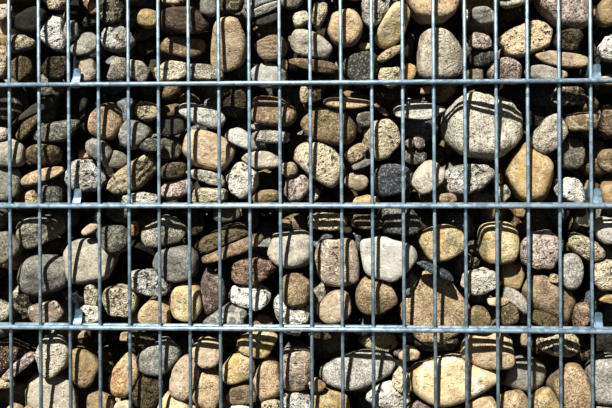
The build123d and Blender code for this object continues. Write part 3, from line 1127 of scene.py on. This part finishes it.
def basket_bars():
    """Starts, runs and radii of the inner rods, the wires and the straps' edges, tabs and ears"""
    inner_rod = half_depth - rod_offset
    inner_end_rod = end_mat_plane - rod_offset
    upright = (0, 0, mat_top)
    through = (0, 2 * half_depth, 0)
    bars = []
    for side in (-1, 1):
        for x in wire_places:
            bars.append(((x, side * half_depth, 0), upright, wire_width / 2))
        for y in end_mat_places:
            bars.append(((side * end_mat_plane, y, 0), upright, wire_width / 2))
        for z in rows:
            bars.append(((-half_length, side * inner_rod, z), (2 * half_length, 0, 0), rod_width / 2))
            bars.append(((side * inner_end_rod, -half_depth, z), through, rod_width / 2))
    for tie in tie_places:
        for z in rows[:-1]:
            strap = tie + strap_place
            for edge in strap_edges:
                bars.append(((strap, -half_depth, z + edge), through, strap_radius))
            for side in (-1, 1):
                for part in (tab_bar, ear_bar):
                    start = (strap + part["beside"], side * part["across"], z)
                    bars.append((start, (0, 0, part["rise"]), part["radius"]))
    starts, runs, radii = zip(*bars)
    return np.array(starts, float), np.array(runs, float), np.array(radii)


# A stone's own worn form

press_edge = 14             # the higher an edge, the sharper the rims of the flats it goes with
angular_edge = 16
rounded_edges = (6, 14)
roundnesses = (2.3, 3.1)    # 2 is an oval, and more comes nearer a box
angular_chips = (6, 10)     # how many flats, from the first to below the second
rounded_chips = (3, 8)
chip_shares = (0.66, 0.94)  # of a stone's reach that a chip leaves
face_shares = (0.52, 0.66)  # and the broad flat that a seen stone shows
face_lean = (0.08, 0.12)    # mean and spread of that flat's lean upwards, and its spread sideways
face_turn = 0.14
chip_least_front = -0.15    # no chip of a seen stone faces forward and down beyond both of these
chip_least_up = -0.10
flat_back = 0.12            # how far a placed flat also faces back
taper_spread = 0.12
taper_shares = (1, 0.4, 0.5)    # of the taper, along, through and up the stone
most_taper = 0.25
smooth_lumps = 0.018        # height of the lumps, as a share of the reach
rough_lumps = 0.034
lump_fade = 0.15            # the finer the lumps, the lower
lump_pitches = [1.8 + 0.55 * wave for wave in range(9)]     # radians to a stone's half size
crag_height = 0.013
crag_pitches = [6 + 0.8 * wave for wave in range(10)]
full_turn = 6.3
least_press = 0.45          # of its least half size: no plane presses a stone nearer its middle
first_seed = 1000
grain_spread = 5.0          # each stone's colours are cut from another place of the noise, this far about


def flat_side(points, normal, share, edge):
    """What a flat side facing this way, at this share of the reach, adds to the points' inverse reach"""
    return (np.clip(points @ normal, 0, None) / share) ** edge


def ripple(directions, pitch, height, draw):
    """A wave over the stone, with this many radians to its half size, that runs any way"""
    way = draw.normal(size=3) * pitch
    return 1 + height * np.sin(directions @ way + draw.uniform(0, full_turn))


def worn_form(stone, directions, draw):
    """A stone's skin in a box from -1 to 1, for directions from its middle"""
    angular = stone.kind in angular_kinds
    roundness = draw.uniform(*roundnesses)
    edge = angular_edge if angular else draw.uniform(*rounded_edges)
    inverse = (np.abs(directions) ** roundness).sum(1) ** (edge / roundness)
    for chip in range(draw.integers(*(angular_chips if angular else rounded_chips))):
        normal = unit(draw.normal(size=3))
        facing = stone.axes @ normal
        if stone.rank >= 0 and facing[1] < chip_least_front and facing[2] < chip_least_up:
            normal = -normal
        inverse += flat_side(directions, normal, draw.uniform(*chip_shares), edge)
    if stone.rank >= 0:
        face = unit(np.array((draw.normal(0, face_turn), -1, draw.normal(*face_lean))))
        inverse += flat_side(directions, face, draw.uniform(*face_shares), edge)
    for facing, share in stone.flats:
        normal = unit(np.array((math.cos(facing), flat_back, math.sin(facing))) * stone.half)
        inverse += flat_side(directions, normal, share, edge)
    reach = inverse ** (-1 / edge)
    taper = draw.normal(0, taper_spread, 3) * taper_shares
    reach *= 1 + np.clip(directions @ taper, -most_taper, most_taper)
    lumps = rough_lumps if stone.kind in rough_kinds else smooth_lumps
    for wave, pitch in enumerate(lump_pitches):
        reach *= ripple(directions, pitch, lumps / (1 + lump_fade * wave), draw)
    for pitch in crag_pitches if stone.kind in craggy_kinds else []:
        reach *= ripple(directions, pitch, crag_height, draw)
    points = directions * reach[:, None]
    low = points.min(0)
    high = points.max(0)
    return (points - (low + high) / 2) * 2 / (high - low)


def pressed(skin, planes, least):
    """The skin, worn flat by the planes, none of which counts as nearer the middle than the least distance"""
    press = np.zeros(len(skin))
    for normal, distance in planes:
        press += flat_side(skin, normal, max(distance, least), press_edge)
    return skin * ((1 + press) ** (-1 / press_edge))[:, None]


small_half = 0.026          # half lengths up to which a seen stone is small, and past which it is large
large_half = 0.034
small_cuts = 8
usual_cuts = 11
large_cuts = 14
cuts_to_depth = {0.014: 6, 0.055: 4, 0.130: 3}      # for unseen stones, by the depth below the fill's skin


def fineness(stone):
    """Cuts a side of the ball that a stone is made from, 0 for one too deep to be seen"""
    if stone.rank >= 0:
        if stone.half[0] < small_half:
            return small_cuts
        return large_cuts if stone.rank == 0 and stone.half[0] > large_half else usual_cuts
    spread = stone.axes @ np.diag(stone.half ** 2) @ stone.axes.T
    reach = np.sqrt(np.diag(spread))
    room_below = (stone.middle - reach - inside_low)[:2]
    room_above = inside_high - stone.middle - reach
    depth = min(room_below.min(), room_above.min())
    return next((cuts for limit, cuts in cuts_to_depth.items() if depth < limit), 0)


class StoneHeap(Heap):
    """Stones that are joined into one mesh, with what their materials read from it"""

    def __init__(self):
        super().__init__()
        self.grains = []
        self.tones = []
        self.moods = []
        self.kinds = []

    def add_stone(self, points, faces, grain, tone, mood, kind):
        self.add(points, faces)
        self.grains.append(grain)
        self.tones.append(np.full(len(points), tone))
        self.moods.append(np.full(len(points), mood))
        self.kinds.append(np.full(len(faces), kind))

    def make(self, name, materials):
        values = {
            "grain": ("FLOAT_VECTOR", "vector", np.concatenate(self.grains)),
            "tone": ("FLOAT", "value", np.concatenate(self.tones)),
            "mood": ("FLOAT", "value", np.concatenate(self.moods)),
        }
        return super().make(name, materials, np.concatenate(self.kinds), values)


def make_stones(finishes):
    """The stones, each joined to the others that lie in the same mass of fill and replace it"""
    kinds = list(finishes)
    names = [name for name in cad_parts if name.startswith("stone_fill")]
    boxes = np.array([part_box(name) for name in names])
    centres = boxes.mean(1)
    sizes = boxes[:, 1] - boxes[:, 0]
    heaps = [StoneHeap() for name in names]
    for number, (stone, planes) in enumerate(zip(stones, contact_planes())):
        cuts = fineness(stone)
        if not cuts:
            continue
        directions, faces = ball(cuts)
        draw = np.random.default_rng(first_seed + number)
        own = worn_form(stone, directions, draw) * stone.half
        skin = pressed(own @ stone.axes.T, planes, least_press * stone.half.min())
        grain = own + draw.uniform(-grain_spread, grain_spread, 3)
        mood = draw.uniform()
        heap = heaps[np.argmin((np.abs(stone.middle - centres) / sizes).max(1))]
        heap.add_stone(stone.middle + skin, faces, grain, stone.tone, mood, kinds.index(stone.kind))
    for name, heap in zip(names, heaps):
        made = heap.make(name + "_stones", list(finishes.values()))
        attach(made, "root")
        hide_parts(name)


# The tie straps and the corner clips, from folded sheet

fit_gap = 0.0003            # play between a strap or clip and what it holds
strap_thickness = 0.0025
strap_height = 0.016
strap_top = rod_width / 2 + strap_height
strap_left = wire_width / 2 / math.cos(math.pi / 6) + fit_gap       # past the corners of a six-sided wire
strap_right = strap_left + strap_thickness
tongue_middle = -half_depth + wire_width / 2 - fit_gap - strap_thickness / 2
tongue_bend = 0.0005        # below the rod's top, where the tongue starts to lean
hook_drop = 0.006
tab_middle = -half_depth + rod_offset
tab_width = 0.012
tab_shoulder = 0.012
tab_top = 0.027
tab_corner = 0.0035
tab_bend = 0.003            # radius of its folds
ear_top = 0.048
ear_lean = 0.0035           # of the ear's front, as high as the tab's top
ear_tip = [(0.0075, 0.002), (0.0095, 0.0), (0.0125, 0.001)]     # behind the tab, and below the ear's top
ear_reach = 0.040
ear_foot_run = 0.006
ear_foot_rise = 0.002
clip_thickness = 0.002
clip_height = 0.020
clip_bend = 0.004
clip_course_step = 2        # a clip in every second course
corner_pitch = 0.025
cut_edge = 0.0004           # bevel of the sheet's cut edges
bend_steps = 6
sharp_angle = math.radians(35)


def rounded_path(corners, radius, closed=False):
    """Points along straight runs, with a round bend at each corner"""
    corners = [np.array(corner, float) for corner in corners]
    count = len(corners)
    path = []
    for number, corner in enumerate(corners):
        if not closed and number in (0, count - 1):
            path.append(corner)
            continue
        before = corners[number - 1] - corner
        after = corners[(number + 1) % count] - corner
        start = corner + unit(before) * radius
        end = corner + unit(after) * radius
        for step in np.linspace(0, 1, bend_steps):
            path.append((1 - step) ** 2 * start + 2 * step * (1 - step) * corner + step ** 2 * end)
    return np.array(path)


def folded_strip(model, path, side, widths, thickness, closed=False):
    """A bent strip of sheet with bevelled cut edges, its middle line along the path"""
    side = np.array(side, float)
    runs = np.roll(path, -1, 0) - np.roll(path, 1, 0)
    if not closed:
        runs[0] = path[1] - path[0]
        runs[-1] = path[-1] - path[-2]
    rings = []
    for point, run, width in zip(path, runs, widths):
        outward = np.cross(unit(run), side)
        half_width = width / 2
        half_sheet = thickness / 2
        corners = [(half_width - cut_edge, -half_sheet), (half_width, cut_edge - half_sheet),
                   (half_width, half_sheet - cut_edge), (half_width - cut_edge, half_sheet)]
        corners += [(-along, -across) for along, across in corners]
        places = [point + side * along + outward * across for along, across in corners]
        rings.append([model.verts.new(place) for place in places])
    following = rings[1:] + rings[:1] if closed else rings[1:]
    for ring, after in zip(rings, following):
        for corner in range(len(ring)):
            turn = (corner + 1) % len(ring)
            model.faces.new((ring[corner], ring[turn], after[turn], after[corner]))
    if not closed:
        model.faces.new(rings[0])
        model.faces.new(rings[-1])


def strap_plate(model):
    """The upright plate with a leaning ear at each end and its tongues between the twin rods"""
    tongue_front = tongue_middle - strap_thickness / 2
    tongue_back = tongue_middle + strap_thickness / 2
    ear_front = tab_middle - strap_thickness / 2
    rod_top = rod_width / 2
    half = [(tongue_back, rod_top), (tongue_back, -hook_drop), (tongue_front, -hook_drop),
            (tongue_front, rod_top), (ear_front, tab_shoulder), (ear_front + ear_lean, tab_top)]
    half += [(ear_front + behind, ear_top - below) for behind, below in ear_tip]
    half += [(ear_front + ear_reach - ear_foot_run, strap_top + ear_foot_rise),
             (ear_front + ear_reach, strap_top)]
    outline = half + [(-across, height) for across, height in reversed(half)]
    corners = [model.verts.new((strap_left, across, height)) for across, height in outline]
    plate = model.faces.new(corners)
    pulled = bmesh.ops.extrude_face_region(model, geom=[plate])["geom"]
    far = [part for part in pulled if isinstance(part, bmesh.types.BMVert)]
    bmesh.ops.translate(model, verts=far, vec=(strap_thickness, 0, 0))
    every_edge = list(model.edges)
    bmesh.ops.bevel(model, geom=every_edge, offset=cut_edge, segments=2, profile=0.5, affect="EDGES")


def hook_tab(model, side):
    """The folded tongue and free tab of the hook at the front, side 1, or at the back, side -1"""
    middle = strap_right + tab_width / 2
    corners = [(middle, tongue_middle, -hook_drop), (middle, tongue_middle, rod_width / 2 - tongue_bend),
               (middle, tab_middle, tab_shoulder), (middle, tab_middle, tab_top)]
    path = rounded_path(corners, tab_bend)
    rise = np.linspace(0, math.pi / 2, bend_steps + 1)[1:]
    curve = [(middle, tab_middle, tab_top - tab_corner * (1 - math.sin(angle))) for angle in rise]
    path = np.concatenate([path[:-1], [(middle, tab_middle, tab_top - tab_corner)], curve])
    widths = [tab_width] * (len(path) - len(rise))
    widths += [tab_width - 2 * tab_corner * (1 - math.cos(angle)) for angle in rise]
    folded_strip(model, path * (1, side, 1), (1, 0, 0), widths, strap_thickness)


def sheet_piece(name, node, model, finish):
    """The scene's piece in place of the node, from what is folded so far"""
    bmesh.ops.recalc_face_normals(model, faces=model.faces)
    mesh = bpy.data.meshes.new(name)
    model.to_mesh(mesh)
    model.free()
    mesh.shade_smooth()
    mesh.set_sharp_from_angle(angle=sharp_angle)
    mesh.materials.append(finish)
    made = bpy.data.objects.new(name, mesh)
    bpy.context.scene.collection.objects.link(made)
    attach(made, "root")
    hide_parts(node)


def tie_straps(finish):
    for column, tie in enumerate(tie_places):
        for row, height in enumerate(rows[:-1]):
            model = bmesh.new()
            strap_plate(model)
            hook_tab(model, 1)
            hook_tab(model, -1)
            bmesh.ops.translate(model, verts=model.verts, vec=(tie, 0, height))
            node = f"tie_strap_{column + 1}_{row + 1}"
            sheet_piece(node + "_sheet", node, model, finish)


def corner_clips(finish):
    reach = strap_left + clip_thickness / 2
    low_x = end_mat_plane - reach
    high_x = half_length + reach
    low_y = -half_depth - reach
    high_y = -half_depth + corner_pitch + reach
    for end, end_side in (("left", -1), ("right", 1)):
        for face, face_side in (("front", 1), ("back", -1)):
            model = bmesh.new()
            for course in range(0, row_count - 1, clip_course_step):
                height = (rows[course] + rows[course + 1]) / 2
                corners = [(low_x, low_y, height), (high_x, low_y, height), (high_x, high_y, height),
                           (low_x, high_y, height)]
                path = rounded_path(corners, clip_bend, closed=True) * (end_side, face_side, 1)
                widths = [clip_height] * len(path)
                folded_strip(model, path, (0, 0, 1), widths, clip_thickness, closed=True)
            node = f"{end}_{face}_clips"
            sheet_piece(node + "_sheet", node, model, finish)


# The plain pale floor

floor_half = 6.0
floor_relief = 0.0002


def lay_floor():
    points = np.array(((-1, -1, 0), (1, -1, 0), (1, 1, 0), (-1, 1, 0))) * floor_half
    look = Look("pale_floor")
    place = look.node("TexCoord", {}, {}, "Object")
    cloud = look.node("TexNoise", {}, {"Vector": place, "Scale": 3.0, "Detail": 3.0})
    colour = look.mix(cloud, shade(160, 159, 156), shade(168, 167, 164))
    finish = look.finish(colour, 0.7 + 0.1 * cloud, cloud, floor_relief)
    floor = make_mesh("floor", points, np.array(((0, 1, 2, 3),)), [finish])
    floor.visible_diffuse = False


place_camera()
place_lights()
lay_floor()
wire_finish = galvanised("galvanised_wire", dark=shade(104, 120, 131), light=shade(152, 168, 178),
                         roughness=0.36, spangle=120.0)
sheet_finish = galvanised("galvanised_sheet", dark=shade(82, 100, 112), light=shade(130, 148, 159),
                          roughness=0.42, spangle=80.0)
welded_mats(wire_finish)
tie_straps(sheet_finish)
corner_clips(sheet_finish)
add_unseen_stones()
settle(steps=120)
make_stones(stone_finishes())
